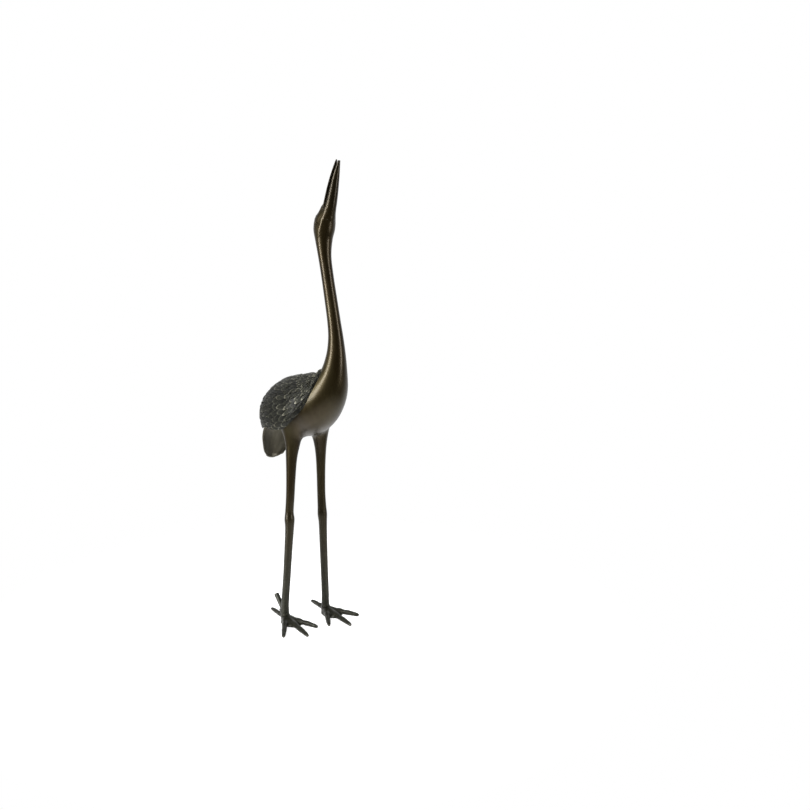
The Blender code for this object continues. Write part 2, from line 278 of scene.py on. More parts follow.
# Where worn edges with painted highlight, and painted shade in the hollows, start on bent
# surfaces, and over what width they grow to full
SKIN_WEAR_AND_SHADE = (0.035, 0.06)
FEATHER_WEAR_AND_SHADE = (0.05, 0.08)

# Places in metres between which the colour changes: patina down the legs, painted shade darkening
# the head and bill upward, patina on the rump
LEG_FADE = (0.40, 0.05)
LEG_ROUGH_FADE = (0.36, 0.20)
HEAD_SHADE_FADE = (1.06, 1.13)
RUMP_FADE = (0.095, 0.125)

# Direction from the statue to the darker side of the studio
DARK_SIDE = (-0.62, -0.75, 0.2)
FLOOR_RADIUS = 0.9
FLOOR_GLOW = 0.4

# Softboxes: name, place, width, height and power
SOFTBOXES = (
    ("strip_right", (-2.2, 0.35, 1.1), 0.5, 2.2, 92),
    ("strip_front", (0.95, -2.0, 1.1), 0.4, 2.2, 35),
    ("overhead", (-0.2, 0.3, 3.2), 1.8, 1.8, 35),
    ("key", (-1.9, -0.9, 2.4), 0.8, 0.8, 18),
)
LIGHT_AIM = (0, 0, 0.65)

# The photograph's view, worked out from the feet, the head and the statue's height
CAMERA_PLACE = (-1.3071, -2.0128, 1.05)
CAMERA_YAW = math.radians(39.592)
CAMERA_PITCH = math.radians(-10.810)
CAMERA_LENS = 40.52


def deselect():
    """Leave nothing selected and no edit mode open."""
    if bpy.context.object and bpy.context.object.mode != "OBJECT":
        bpy.ops.object.mode_set(mode="OBJECT")
    bpy.ops.object.select_all(action="DESELECT")


def activate(obj):
    """Make an object the only selected and active one."""
    deselect()
    obj.select_set(True)
    bpy.context.view_layer.objects.active = obj


def apply_modifier(obj, kind, **settings):
    """Add a modifier with its settings and apply it."""
    activate(obj)
    modifier = obj.modifiers.new(kind.lower(), kind)
    for name, value in settings.items():
        setattr(modifier, name, value)
    bpy.ops.object.modifier_apply(modifier=modifier.name)


def join(obj, other, operation):
    """Add another closed form to an object or cut it away, and remove the other."""
    apply_modifier(obj, "BOOLEAN", operation=operation, object=other, solver="MANIFOLD")
    bpy.data.objects.remove(other)


def statue_shift():
    """Where the forms' own origin lies in the frame, read from the pipe stub's place."""
    low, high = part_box("water_inlet_pipe")
    middle = (low + high) / 2
    reach = PIPE_LENGTH / 2 - PIPE_SEATED
    side = middle.x - PIPE_SIDE * UNIT
    back = middle.y + PIPE_FORWARD * UNIT - reach * math.cos(PIPE_RISE)
    return np.array([side, back, 0.0])


SHIFT = statue_shift()


def along(rows, place):
    """Rows smoothly interpolated at places counted in rows."""
    table = np.array(rows, float)
    last = len(table) - 1
    place = np.clip(place, 0, last)
    start = np.minimum(place.astype(int), last - 1)
    share = (place - start)[:, None]
    a, b, c, d = (table[np.clip(start + step, 0, last)] for step in (-1, 0, 1, 2))
    return 0.5 * (
        2 * b
        + (c - a) * share
        + (2 * a - 5 * b + 4 * c - d) * share**2
        + (3 * b - a - 3 * c + d) * share**3
    )


def ease(share):
    """Share kept from 0 to 1, with a soft start and end."""
    share = np.clip(share, 0, 1)
    return share**2 * (3 - 2 * share)


def even_places(rows, share, columns=(0, 1), dense_from=None, density=1):
    """Places in rows for shares of the length, with an optional denser end."""
    fine = np.linspace(0, len(rows) - 1, 60 * len(rows))
    points = along(rows, fine)[:, list(columns)]
    steps = np.linalg.norm(np.diff(points, axis=0), axis=1)
    if dense_from is not None:
        steps = steps * np.where(fine[1:] > dense_from, density, 1)
    length = np.concatenate([[0], np.cumsum(steps)])
    return np.interp(share, length / length[-1], fine)


def shaped_grid(name, columns, rows, shape, wrapped):
    """Grid primitive whose corners are moved to shape(across, along), both from 0 to 1.

    A wrapped grid is closed at its seam and its ends, as a limb or a body is.
    """
    deselect()
    bpy.ops.mesh.primitive_grid_add(
        x_subdivisions=columns,
        y_subdivisions=rows,
        size=2,
    )
    obj = bpy.context.object
    obj.name = name
    obj.data.name = name
    flat = np.empty(len(obj.data.vertices) * 3)
    obj.data.vertices.foreach_get("co", flat)
    flat = (flat.reshape(-1, 3) + 1) / 2
    placed = shape(flat[:, 0], flat[:, 1]) * UNIT + SHIFT
    obj.data.vertices.foreach_set("co", placed.ravel())
    obj.data.update()
    if wrapped:
        bpy.ops.object.mode_set(mode="EDIT")
        bpy.ops.mesh.select_all(action="SELECT")
        bpy.ops.mesh.remove_doubles(threshold=SEAM_GAP)
        bpy.ops.mesh.select_all(action="DESELECT")
        bpy.ops.mesh.select_mode(type="EDGE")
        bpy.ops.mesh.select_non_manifold()
        bpy.ops.mesh.edge_face_add()
        bpy.ops.mesh.select_all(action="SELECT")
        bpy.ops.mesh.normals_make_consistent(inside=False)
        bpy.ops.object.mode_set(mode="OBJECT")
    return obj


def outward(lean):
    """Direction from the middle of a section to the back: 0 is up, 90 is backward."""
    lean = np.radians(lean)
    return np.stack([np.zeros_like(lean), np.sin(lean), np.cos(lean)], axis=-1)


def egg_section(values, turn, relief=0.0):
    """Points of egg-shaped sections at turns from the back, raised by a relief."""
    forward, up, lean, half_width, back, belly = values.T
    depth = np.where(np.cos(turn) > 0, back, belly)
    middle = np.stack([np.zeros_like(forward), -forward, up], axis=-1)
    side = (half_width + relief) * np.sin(turn)
    points = middle + outward(lean) * ((depth + relief) * np.cos(turn))[:, None]
    points[:, 0] += side
    return points


def crown_stipple(place, turn):
    """Small feather buds on the crown, between the eyes and the bill's root."""
    over_crown = np.clip((np.radians(CROWN_HALF_TURN) - np.abs(turn)) / 0.25, 0, 1)
    start, end = CROWN_ROWS
    length = np.clip((place - start) / 0.4, 0, 1) * np.clip((end - place) / 0.4, 0, 1)
    bud_row = np.floor(place * BUDS)
    bud_turn = turn * BUDS + 0.5 * math.pi * (bud_row % 2)
    buds = np.abs(np.sin(place * BUDS * math.pi)) * np.abs(np.cos(bud_turn))
    return BUD_HEIGHT * over_crown * length * (buds - 0.3)


def cheek_ridge(place, turn):
    """Soft ridge on each cheek, running down from the corner of the bill."""
    length = np.clip((place - 16.6) / 1.4, 0, 1) * np.clip((21.6 - place) / 0.5, 0, 1)
    crest = np.radians(130 - 4 * np.clip(20 - place, 0, 4))
    offset = np.degrees(np.abs(turn) - crest)
    ridge = np.exp(-((offset / 12) ** 2))
    hollow = np.exp(-(((offset + 24) / 15) ** 2))
    return length * (0.7 * ridge - 1.2 * hollow)


def body_shape(across, length):
    """Trunk, neck and head, with the crown's feather buds and the cheek ridges."""
    place = even_places(SPINE, length, dense_from=HEAD_ROW, density=HEAD_DENSITY)
    turn = 2 * math.pi * across
    signed = np.where(turn > math.pi, turn - 2 * math.pi, turn)
    relief = crown_stipple(place, signed) + cheek_ridge(place, signed)
    return egg_section(along(SPINE, place), turn, relief)


def bill_shape(rows, nostril):
    """Half of the bill. The upper one has a nostril slit on each side."""

    def shape(across, length):
        place = even_places(rows, length)
        turn = 2 * math.pi * across
        slit = np.exp(-(((place - 1.55) / 0.5) ** 2))
        slit = slit * np.exp(-(((np.abs(np.sin(turn)) - 0.86) / 0.09) ** 2)) * (np.cos(turn) > 0)
        return egg_section(along(rows, place), turn, -1.1 * slit * nostril)

    return shape


def limb_shape(rows, reference, relief, dense_from=None):
    """Round limb along its rows. relief(place, turn, values) raises its skin."""
    path = np.array(rows, float)[:, :3] * (1, -1, 1)

    def shape(across, length):
        place = even_places(rows, length, (0, 1, 2), dense_from, SHANK_DENSITY)
        values = along(rows, place)
        turn = 2 * math.pi * across
        middle = values[:, :3] * (1, -1, 1)
        ahead = along(path, place + 0.02) - along(path, place - 0.02)
        ahead /= np.linalg.norm(ahead, axis=1)[:, None]
        first = reference - ahead * (ahead @ reference)[:, None]
        first /= np.linalg.norm(first, axis=1)[:, None]
        second = np.cross(ahead, first)
        radius = (values[:, 3] + relief(place, turn, values))[:, None]
        return middle + radius * (first * np.cos(turn)[:, None] + second * np.sin(turn)[:, None])

    return shape


def leg_relief(place, turn, values):
    """Ring scutes below the leg's joint, staggered between front and back."""
    up = values[:, 2]
    below = np.clip((LEG_JOINT_UP + 6 - up) / 14, 0, 1) * np.clip((up - 12) / 6, 0, 1)
    stagger = 0.5 * (np.sin(turn) > 0) + 0.08 * np.sin(3 * turn)
    ring = np.abs(np.sin(math.pi * (up / SCUTE_SPACING + stagger)))
    groove = (1 - ring) ** 2.5
    seam = np.exp(-((np.sin(turn) / 0.13) ** 2))
    return -SCUTE_DEPTH * below * (1.5 * groove + 0.9 * seam * (0.5 + 0.5 * ring))


def toe_relief(place, turn, values):
    """Cross scutes on top of a toe that stop at its claw."""
    share = np.interp(place, range(len(TOE_PROFILE)), [row[0] for row in TOE_PROFILE])
    on_skin = np.clip((CLAW_START - share) / 0.03, 0, 1) * np.clip((share - 0.08) / 0.05, 0, 1)
    top = np.clip(np.cos(turn) * 2.2 + 0.6, 0, 1)
    ring = np.abs(np.sin(math.pi * share * TOE_SCUTES))
    claw_root = np.exp(-(((share - CLAW_START) / 0.012) ** 2))
    return -0.5 * on_skin * top * (1 - ring) ** 2 - 0.55 * claw_root


def make_leg(rows, toes):
    """Leg, toes and palm as forms of their own, still to be joined."""
    up = np.array([0.0, 0.0, 1.0])
    back = np.array([0.0, 1.0, 0.0])
    leg = limb_shape(rows, back, leg_relief, KNEE_ROW)
    forms = [shaped_grid("leg", *LEG_GRID, leg, wrapped=True)]
    ankle_side, ankle_forward = rows[-1][:2]
    for heading, length, girth in toes:
        heading = math.radians(heading)
        toe_rows = [
            (
                ankle_side + math.sin(heading) * length * share,
                ankle_forward + math.cos(heading) * length * share,
                height * girth,
                radius * girth,
            )
            for share, height, radius in TOE_PROFILE
        ]
        toe = limb_shape(toe_rows, up, toe_relief)
        forms.append(shaped_grid("toe", *TOE_GRID, toe, wrapped=True))
    return [*forms, make_palm(ankle_side, ankle_forward)]


def make_body():
    """Smooth casting: trunk, neck, head, bill, legs and feet joined into one skin."""
    body = shaped_grid("crane_casting", *BODY_GRID, body_shape, wrapped=True)
    additions = [
        shaped_grid("upper_bill", *BILL_GRID, bill_shape(UPPER_BILL, 1), wrapped=True),
        shaped_grid("lower_bill", *BILL_GRID, bill_shape(LOWER_BILL, 0), wrapped=True),
        *make_leg(RIGHT_LEG, RIGHT_TOES),
        *make_leg(LEFT_LEG, LEFT_TOES),
        make_collar(),
    ]
    number_forms([body, *additions])
    forms = [form_tree(form) for form in (body, *additions)]
    for addition in additions:
        join(body, addition, "UNION")
    blend_joins(body, forms)
    for _ in range(FOLD_PASSES):
        unfold(body)
    level_soles(body)
    finish_shading(body, SKIN_EDGE)
    return body


def level_soles(body):
    """Cut the feet flat at the ground."""
    deselect()
    bpy.ops.mesh.primitive_cube_add(size=1, location=(0, 0, -0.5))
    join(body, bpy.context.object, "DIFFERENCE")


def make_palm(ankle_side, ankle_forward):
    """Flattened pad that joins the roots of the front toes."""
    deselect()
    place = Vector((ankle_side, -ankle_forward - PALM_LEAD, 0)) * UNIT + Vector(SHIFT)
    bpy.ops.mesh.primitive_uv_sphere_add(segments=48, ring_count=24, radius=UNIT, location=place)
    palm = bpy.context.object
    palm.scale = PALM_SIZE
    bpy.ops.object.transform_apply(location=True, rotation=True, scale=True)
    return palm


def pipe_placement(beyond):
    """Placement on the pipe's axis, a distance beyond the socket's mouth."""
    mouth = Vector((PIPE_SIDE, -PIPE_FORWARD, PIPE_UP)) * UNIT + Vector(SHIFT)
    axis = Vector((0, math.cos(PIPE_RISE), math.sin(PIPE_RISE)))
    turn = axis.to_track_quat("Z", "X").to_matrix().to_4x4()
    return Matrix.Translation(mouth + axis * beyond) @ turn


def make_collar():
    """Short cast collar that the pipe stub sits in."""
    deselect()
    depth = COLLAR_DEPTH * UNIT
    radius = PIPE_DIAMETER / 2 + COLLAR_WALL
    bpy.ops.mesh.primitive_cylinder_add(vertices=48, radius=radius, depth=depth)
    collar = bpy.context.object
    collar.matrix_world = pipe_placement(-depth / 2)
    bpy.ops.object.transform_apply(location=True, rotation=True, scale=True)
    return collar


def number_forms(forms):
    """Give each form a blank material of its own, so that the joins between them can be found."""
    blanks = [bpy.data.materials.new(form.name) for form in forms]
    for number, form in enumerate(forms):
        for blank in blanks:
            form.data.materials.append(blank)
        form.data.polygons.foreach_set("material_index", [number] * len(form.data.polygons))


def join_points(mesh):
    """Corners where faces of two different forms meet."""
    number = np.empty(len(mesh.polygons), int)
    mesh.polygons.foreach_get("material_index", number)
    corners = np.empty(len(mesh.loops), int)
    mesh.loops.foreach_get("vertex_index", corners)
    sizes = np.empty(len(mesh.polygons), int)
    mesh.polygons.foreach_get("loop_total", sizes)
    owner = np.repeat(number, sizes)
    low = np.full(len(mesh.vertices), 99)
    high = np.full(len(mesh.vertices), -1)
    np.minimum.at(low, corners, owner)
    np.maximum.at(high, corners, owner)
    return np.flatnonzero(low != high)


def form_tree(form):
    """Search tree of a form's surface, with its lowest and highest corners."""
    places = [vertex.co.copy() for vertex in form.data.vertices]
    tree = BVHTree.FromPolygons(places, [tuple(face.vertices) for face in form.data.polygons])
    corners = np.array(places)
    return tree, corners.min(axis=0), corners.max(axis=0)


def surface_distance(tree, place):
    """Distance outside a form's surface, below zero inside it, and its slope."""
    nearest, normal, _, distance = tree.find_nearest(place)
    away = place - nearest
    side = 1 if away.dot(normal) >= 0 else -1
    if distance < CONTACT:
        return side * distance, normal
    return side * distance, away * (side / distance)


def blended_distance(place, forms, radius):
    """Distance outside several forms that run into each other with a soft radius."""
    spot = np.array(place)
    near = [
        surface_distance(tree, place)
        for tree, low, high in forms
        if (spot > low - radius).all() and (spot < high + radius).all()
    ]
    near.sort(key=lambda entry: entry[0])
    distance, slope = near[0]
    for other, other_slope in near[1:]:
        if other - distance > radius:
            break
        share = 0.5 + 0.5 * (other - distance) / radius
        distance = other * (1 - share) + distance * share - radius * share * (1 - share)
        slope = other_slope.lerp(slope, share)
    return distance, slope


def blend_joins(body, forms):
    """Turn the creases where legs, toes and bill meet the body into soft fillets."""
    mesh = body.data
    places = np.empty(len(mesh.vertices) * 3)
    mesh.vertices.foreach_get("co", places)
    places = places.reshape(-1, 3)
    joins = join_points(mesh)
    group = body.vertex_groups.new(name="join")
    for low, high, radius, reach in BLENDS:
        radius, reach = radius * UNIT, reach * UNIT
        chosen = joins[(places[joins, 2] > low * UNIT) & (places[joins, 2] < high * UNIT)]
        tree = KDTree(len(chosen))
        for index, place in enumerate(places[chosen]):
            tree.insert(place, index)
        tree.balance()
        above = places[:, 2] > low * UNIT - reach
        below = places[:, 2] < high * UNIT + reach
        for index in np.flatnonzero(above & below):
            gap = tree.find(places[index])[2]
            if gap > reach:
                continue
            place = Vector(places[index])
            for _ in range(BLEND_STEPS):
                distance, slope = blended_distance(place, forms, radius)
                place -= slope * (distance / max(slope.length_squared, 0.2))
            mesh.vertices[index].co = place
            if gap < radius:
                group.add([int(index)], 1 - gap / radius, "REPLACE")
    activate(body)
    bpy.ops.object.mode_set(mode="EDIT")
    bpy.ops.mesh.select_all(action="SELECT")
    bpy.ops.mesh.dissolve_degenerate(threshold=SLIVER)
    bpy.ops.object.mode_set(mode="OBJECT")
    apply_modifier(body, "SMOOTH", vertex_group="join", factor=0.5, iterations=JOIN_SMOOTHING)
    body.vertex_groups.clear()


def unfold(body):
    """Even out the few folded faces where two forms nearly touch beside a join."""
    mesh = bmesh.new()
    mesh.from_mesh(body.data)
    folded = {
        vertex
        for edge in mesh.edges
        if edge.calc_face_angle(0) > FOLD_ANGLE
        for vertex in edge.verts
    }
    for _ in range(2):
        folded |= {edge.other_vert(vertex) for vertex in folded for edge in vertex.link_edges}
    group = body.vertex_groups.new(name="folds")
    group.add([vertex.index for vertex in folded], 1, "REPLACE")
    mesh.free()
    apply_modifier(body, "SMOOTH", vertex_group="folds", factor=0.5, iterations=FOLD_SMOOTHING)
    body.vertex_groups.clear()


def finish_shading(obj, angle):
    """Shade smooth, with edges sharper than the angle kept."""
    activate(obj)
    bpy.ops.object.shade_smooth_by_angle(angle=math.radians(angle))


def mantle_surface(place, across):
    """Point and outward normal of the bare mantle."""
    forward, up, lean, half_width, depth, half_turn = along(MANTLE, place).T
    turn = np.radians(half_turn) * across
    out = outward(lean)
    middle = np.stack([np.zeros_like(forward), -forward, up], axis=-1) - out * depth[:, None]
    point = middle + out * (depth * np.cos(turn))[:, None]
    point[:, 0] += half_width * np.sin(turn)
    normal = out * (np.cos(turn) / depth)[:, None]
    normal[:, 0] += np.sin(turn) / half_width
    normal /= np.linalg.norm(normal, axis=1)[:, None]
    return point, normal


# Each feather's own length, tilt, height and lean, from -1 to 1
rng = np.random.default_rng(48)
feather_noise = rng.uniform(-1, 1, (4, FEATHER_ROWS + 2, FEATHERS_ACROSS + 2))


def feather_at(column, row):
    """Place across one feather from -1 to 1, and its number, in rows set half a feather apart."""
    shifted = column + 0.5 * (row % 2)
    number = np.clip(np.floor(shifted), 0, FEATHERS_ACROSS).astype(int)
    return 2 * (shifted - np.floor(shifted)) - 1, number


def feather_end(column, row):
    """Row coordinate where a row of feathers ends at a column."""
    across, number = feather_at(column, row)
    rear = np.clip(row / FEATHER_ROWS, 0, 1)
    length = 0.2 * feather_noise[0, np.clip(row, 0, FEATHER_ROWS), number]
    scallop = (0.5 + 0.25 * rear) * np.abs(across) ** (2.6 - 0.8 * rear)
    end = row + 1 - scallop + length * (1 - across**2)
    return np.where(row < 0, 0.0, end)


def feather_relief(row, number, side, share):
    """Height of a feather above the bare mantle, its mask of painted shade at the root and rubbed
    metal with painted highlight on the raised places, and its barbs.
    """
    tilt, height, lean = feather_noise[1:, row, number]
    rear = row / FEATHER_ROWS
    rachis_side = side - 0.16 * lean * share
    body = 1 - np.abs(rachis_side) ** 4
    rachis = np.exp(-((rachis_side / 0.13) ** 2)) * np.clip(1.15 - share, 0, 1)
    rim = np.exp(-(((1 - np.abs(side)) / 0.2) ** 2)) * np.clip(share * 3 - 0.6, 0, 1)
    tip = np.exp(-(((share - 0.97) / 0.1) ** 2))
    lift = (1.9 + 1.2 * height * (1 - rear)) * share**1.3
    lift += (0.7 + 0.7 * rear) * body * (0.35 + 0.65 * share)
    lift += 0.4 * rachis + 0.3 * rim
    lift += (1.3 - 0.5 * rear) * tilt * side * share
    # Mask of painted shade, low at the root under the row before, and of rubbed metal with painted
    # highlight, high on rim, rachis and tip
    shade_and_highlight = 0.2 + 0.3 * share + 0.28 * rim + 0.16 * rachis + 0.3 * tip
    barbs = share * (4 + 8 * rear) - np.abs(rachis_side) * 2.4 + 0.37 * number
    return lift, np.clip(shade_and_highlight + 0.12 * height, 0, 1), barbs


def mantle_place(reach, turn):
    """Place in the mantle's rows for a reach counted in feathers, with the last place there."""
    beside = ease((np.abs(turn) - RUMP_EDGE[0]) / (RUMP_EDGE[1] - RUMP_EDGE[0]))
    last = len(MANTLE) - 1 - RUMP_ROWS * beside
    place = np.clip(reach / FEATHER_ROWS, 0, 1)
    return place * (1 + (FEATHER_GROWTH - 1) * place) / FEATHER_GROWTH * last, last


def waver(place, turn, last):
    """Slow waves along and across, so that the rows of feathers don't look ruled."""
    inside = np.clip((1 - np.abs(turn)) / 0.2, 0, 1) * np.clip(place / 1.5, 0, 1)
    wander = np.sin(2.7 * place + 5.1 * turn) + 0.8 * np.sin(4.9 * place - 9.7 * turn + 1.3)
    drift = np.sin(3.8 * place - 6.3 * turn + 0.7) + 0.8 * np.sin(6.1 * place + 12.1 * turn)
    inside = inside * np.clip((last - place) / 0.6, 0, 1)
    return np.clip(place + 0.07 * wander * inside, 0, last), turn + 0.012 * drift * inside


def settle(lift, place, turn):
    """Lift of the feathers, dipped into the chest at the edges and raised over the trunk."""
    border = ease((np.abs(turn) - 0.92) / 0.08)
    front = np.clip((5.6 - place) / 1.6, 0, 1)
    first = np.clip(1 - place / 0.3, 0, 1) ** 2
    over_shoulder = np.clip((0.93 - np.abs(turn)) / 0.2, 0, 1)
    shoulder = np.exp(-(((place - 2.2) / 1.1) ** 2)) * over_shoulder
    over_rump = np.clip((0.56 - np.abs(turn)) / 0.3, 0, 1)
    rump = np.exp(-(((place - 9.1) / 0.75) ** 2)) * over_rump
    lift = lift * (1 - 0.75 * border * front) - SINK * np.maximum(border * front, first)
    return lift + (SHOULDER_SWELL * shoulder + RUMP_SWELL * rump)


def make_mantle():
    """Mantle of overlapping chased feathers, closed by a hidden side inside the trunk."""
    columns = FEATHERS_ACROSS * FEATHER_COLUMNS + 1
    lines = FEATHER_ROWS * FEATHER_LINES
    masks = {}

    def shape(across, length):
        line = np.rint(length * (lines - 1)).astype(int)
        row = line // FEATHER_LINES
        share = (line % FEATHER_LINES) / (FEATHER_LINES - 1)
        share = np.clip(share, 0.015, 1)
        column = across * FEATHERS_ACROSS
        start = feather_end(column, row - 1)
        end = feather_end(column, row)
        side, number = feather_at(column, row)
        # The relief mask carries the feathers' painted shade and painted highlight
        lift, masks["relief"], masks["barb"] = feather_relief(row, number, side, share)
        turn = 2 * across - 1
        place, last = mantle_place(start + (end - start) * share, turn)
        place, wavered = waver(place, turn, last)
        point, normal = mantle_surface(place, wavered)
        return point + normal * settle(lift, place, turn)[:, None]

    mantle = shaped_grid("feather_mantle", columns - 1, lines - 1, shape, wrapped=False)
    for name, values in masks.items():
        attribute = mantle.data.attributes.new(name, "FLOAT", "POINT")
        attribute.data.foreach_set("value", values.astype(np.float32))
    activate(mantle)
    bpy.ops.object.mode_set(mode="EDIT")
    bpy.ops.mesh.select_mode(type="EDGE")
    bpy.ops.mesh.select_all(action="DESELECT")
    bpy.ops.mesh.select_non_manifold()
    bpy.ops.mesh.extrude_region_move()
    bpy.ops.object.mode_set(mode="OBJECT")
    core = Vector(MANTLE_CORE) * UNIT + Vector(SHIFT)
    for vertex in mantle.data.vertices:
        if vertex.select:
            vertex.co = core
    bpy.ops.object.mode_set(mode="EDIT")
    bpy.ops.mesh.remove_doubles(threshold=RIM_GAP)
    bpy.ops.mesh.select_all(action="SELECT")
    bpy.ops.mesh.normals_make_consistent(inside=False)
    bpy.ops.object.mode_set(mode="OBJECT")
    finish_shading(mantle, FEATHER_EDGE)
    return mantle


def tail_shape(across, length):
    """Tail lobe: cupped and rimmed inside, long feathers outside."""
    place = even_places(TAIL, length)
    forward, up, half_width, cupping = along(TAIL, place).T
    turn = 2 * math.pi * across
    side = -np.cos(turn)
    face = np.sin(turn)
    end = np.clip(place / (len(TAIL) - 1), 0, 1)
    rounding = np.sqrt(np.clip(1 - np.clip((end - 0.9) / 0.1, 0, 1) ** 2, 0.02, 1))
    feather = 2 * np.modf((side + 1) / 2 * TAIL_FEATHERS * 0.999)[0] - 1
    vane = 1 - np.abs(feather) ** 2
    shaft = np.exp(-((feather / 0.16) ** 2))
    barbs = np.abs(np.sin(math.pi * (end * 26 - np.abs(feather) * 1.6)))
    outer = np.clip(face * 3, 0, 1) * np.clip((0.97 - np.abs(side)) / 0.2, 0, 1)
    inner = np.clip(-face * 3, 0, 1)
    rim = np.exp(-(((np.abs(side) - 0.9) / 0.07) ** 2)) + np.exp(-(((end - 0.95) / 0.035) ** 2))
    streaks = np.sin(2 * math.pi * (side * 1.7 + end * 2.3)) * np.clip(1 - side**2, 0, 1)
    relief = outer * (1.1 * vane + 0.5 * shaft + 0.18 * barbs)
    relief -= inner * (1.5 * np.clip(rim, 0, 1) + 0.35 * streaks - 0.9 * (1 - side**2))
    wall = TAIL_WALL / 2 * np.sign(face) * np.abs(face) ** 0.35 * rounding + relief
    droop = 9 * side**2 * end
    tip = 2.2 * np.clip((end - 0.9) / 0.1, 0, 1) ** 2
    return np.stack(
        [
            half_width * side,
            -forward - cupping * side**2 + wall * 0.97,
            up + droop - tip + wall * 0.2,
        ],
        axis=-1,
    )


def make_tail():
    """Drooping tail lobe under the mantle."""
    tail = shaped_grid("tail_feathers", *TAIL_GRID, tail_shape, wrapped=True)
    finish_shading(tail, SKIN_EDGE)
    return tail


def make_eyes():
    """Eyes set in low lids on both sides of the head."""
    made = []
    for side in (-1, 1):
        values = along(SPINE, np.array([EYE_ROW]))
        point = egg_section(values, np.array([side * math.radians(EYE_TURN)]))[0] * UNIT + SHIFT
        place = Vector(point)
        deselect()
        bpy.ops.mesh.primitive_uv_sphere_add(
            segments=40, ring_count=20, radius=EYE_RADIUS * UNIT, location=place
        )
        eye = bpy.context.object
        bpy.ops.object.transform_apply(location=True, rotation=True, scale=True)
        bpy.ops.mesh.primitive_torus_add(
            major_segments=48,
            minor_segments=14,
            major_radius=LID_RADIUS * UNIT,
            minor_radius=LID_THICKNESS * UNIT,
            location=place + Vector((side * LID_OUT * UNIT, 0, 0)),
            rotation=(0, math.radians(90), 0),
        )
        lid = bpy.context.object
        lid.scale.x = LID_STRETCH
        bpy.ops.object.transform_apply(location=True, rotation=True, scale=True)
        join(eye, lid, "UNION")
        eye.name = "right_eye" if side < 0 else "left_eye"
        finish_shading(eye, SMALL_EDGE)
        made.append(eye)
    return made


def make_pipe():
    """Open pipe stub with softened ends."""
    deselect()
    bpy.ops.mesh.primitive_cylinder_add(
        vertices=64,
        radius=PIPE_DIAMETER / 2,
        depth=PIPE_LENGTH,
        end_fill_type="NOTHING",
    )
    pipe = bpy.context.object
    pipe.name = "pipe_stub"
    apply_modifier(pipe, "SOLIDIFY", thickness=PIPE_WALL, offset=-1)
    rim = {"limit_method": "ANGLE", "angle_limit": math.radians(SMALL_EDGE)}
    apply_modifier(pipe, "BEVEL", width=PIPE_LIP, segments=3, **rim)
    pipe.matrix_world = pipe_placement(PIPE_LENGTH / 2 - PIPE_SEATED)
    activate(pipe)
    bpy.ops.object.transform_apply(location=True, rotation=True, scale=True)
    finish_shading(pipe, SMALL_EDGE)
    return pipe


def new_group(name, inputs, outputs):
    """Shader node group with value inputs and outputs."""
    group = bpy.data.node_groups.new(name, "ShaderNodeTree")
    for label, default in inputs:
        socket = group.interface.new_socket(label, in_out="INPUT", socket_type="NodeSocketFloat")
        socket.default_value = default
    for label in outputs:
        group.interface.new_socket(label, in_out="OUTPUT", socket_type="NodeSocketFloat")
    nodes = group.nodes
    return group, nodes.new("NodeGroupInput"), nodes.new("NodeGroupOutput")


def mottle_group():
    """Cloudy patina mask and fine casting grain, both on object coordinates."""
    group, given, result = new_group(
        "patina_mottle",
        (("Scale", 9.0), ("Stretch", 1.0), ("Grain Scale", 900.0)),
        ("Cloud", "Speckle", "Grain"),
    )
    nodes, links = group.nodes, group.links
    place = nodes.new("ShaderNodeTexCoord")
    stretch = nodes.new("ShaderNodeCombineXYZ")
    stretch.inputs["X"].default_value = 1
    stretch.inputs["Y"].default_value = 1
    links.new(given.outputs["Stretch"], stretch.inputs["Z"])
    spread = nodes.new("ShaderNodeVectorMath")
    spread.operation = "MULTIPLY"
    links.new(place.outputs["Object"], spread.inputs[0])
    links.new(stretch.outputs["Vector"], spread.inputs[1])
    cloud = nodes.new("ShaderNodeTexNoise")
    cloud.inputs["Detail"].default_value = 6
    cloud.inputs["Roughness"].default_value = 0.6
    links.new(spread.outputs["Vector"], cloud.inputs["Vector"])
    links.new(given.outputs["Scale"], cloud.inputs["Scale"])
    contrast = nodes.new("ShaderNodeMapRange")
    contrast.inputs["From Min"].default_value = 0.32
    contrast.inputs["From Max"].default_value = 0.68
    links.new(cloud.outputs["Fac"], contrast.inputs["Value"])
    speckle = nodes.new("ShaderNodeTexNoise")
    speckle.inputs["Scale"].default_value = 260
    speckle.inputs["Detail"].default_value = 3
    links.new(place.outputs["Object"], speckle.inputs["Vector"])
    grain = nodes.new("ShaderNodeTexNoise")
    grain.inputs["Detail"].default_value = 2
    links.new(place.outputs["Object"], grain.inputs["Vector"])
    links.new(given.outputs["Grain Scale"], grain.inputs["Scale"])
    links.new(contrast.outputs["Result"], result.inputs["Cloud"])
    links.new(speckle.outputs["Fac"], result.inputs["Speckle"])
    links.new(grain.outputs["Fac"], result.inputs["Grain"])
    return group


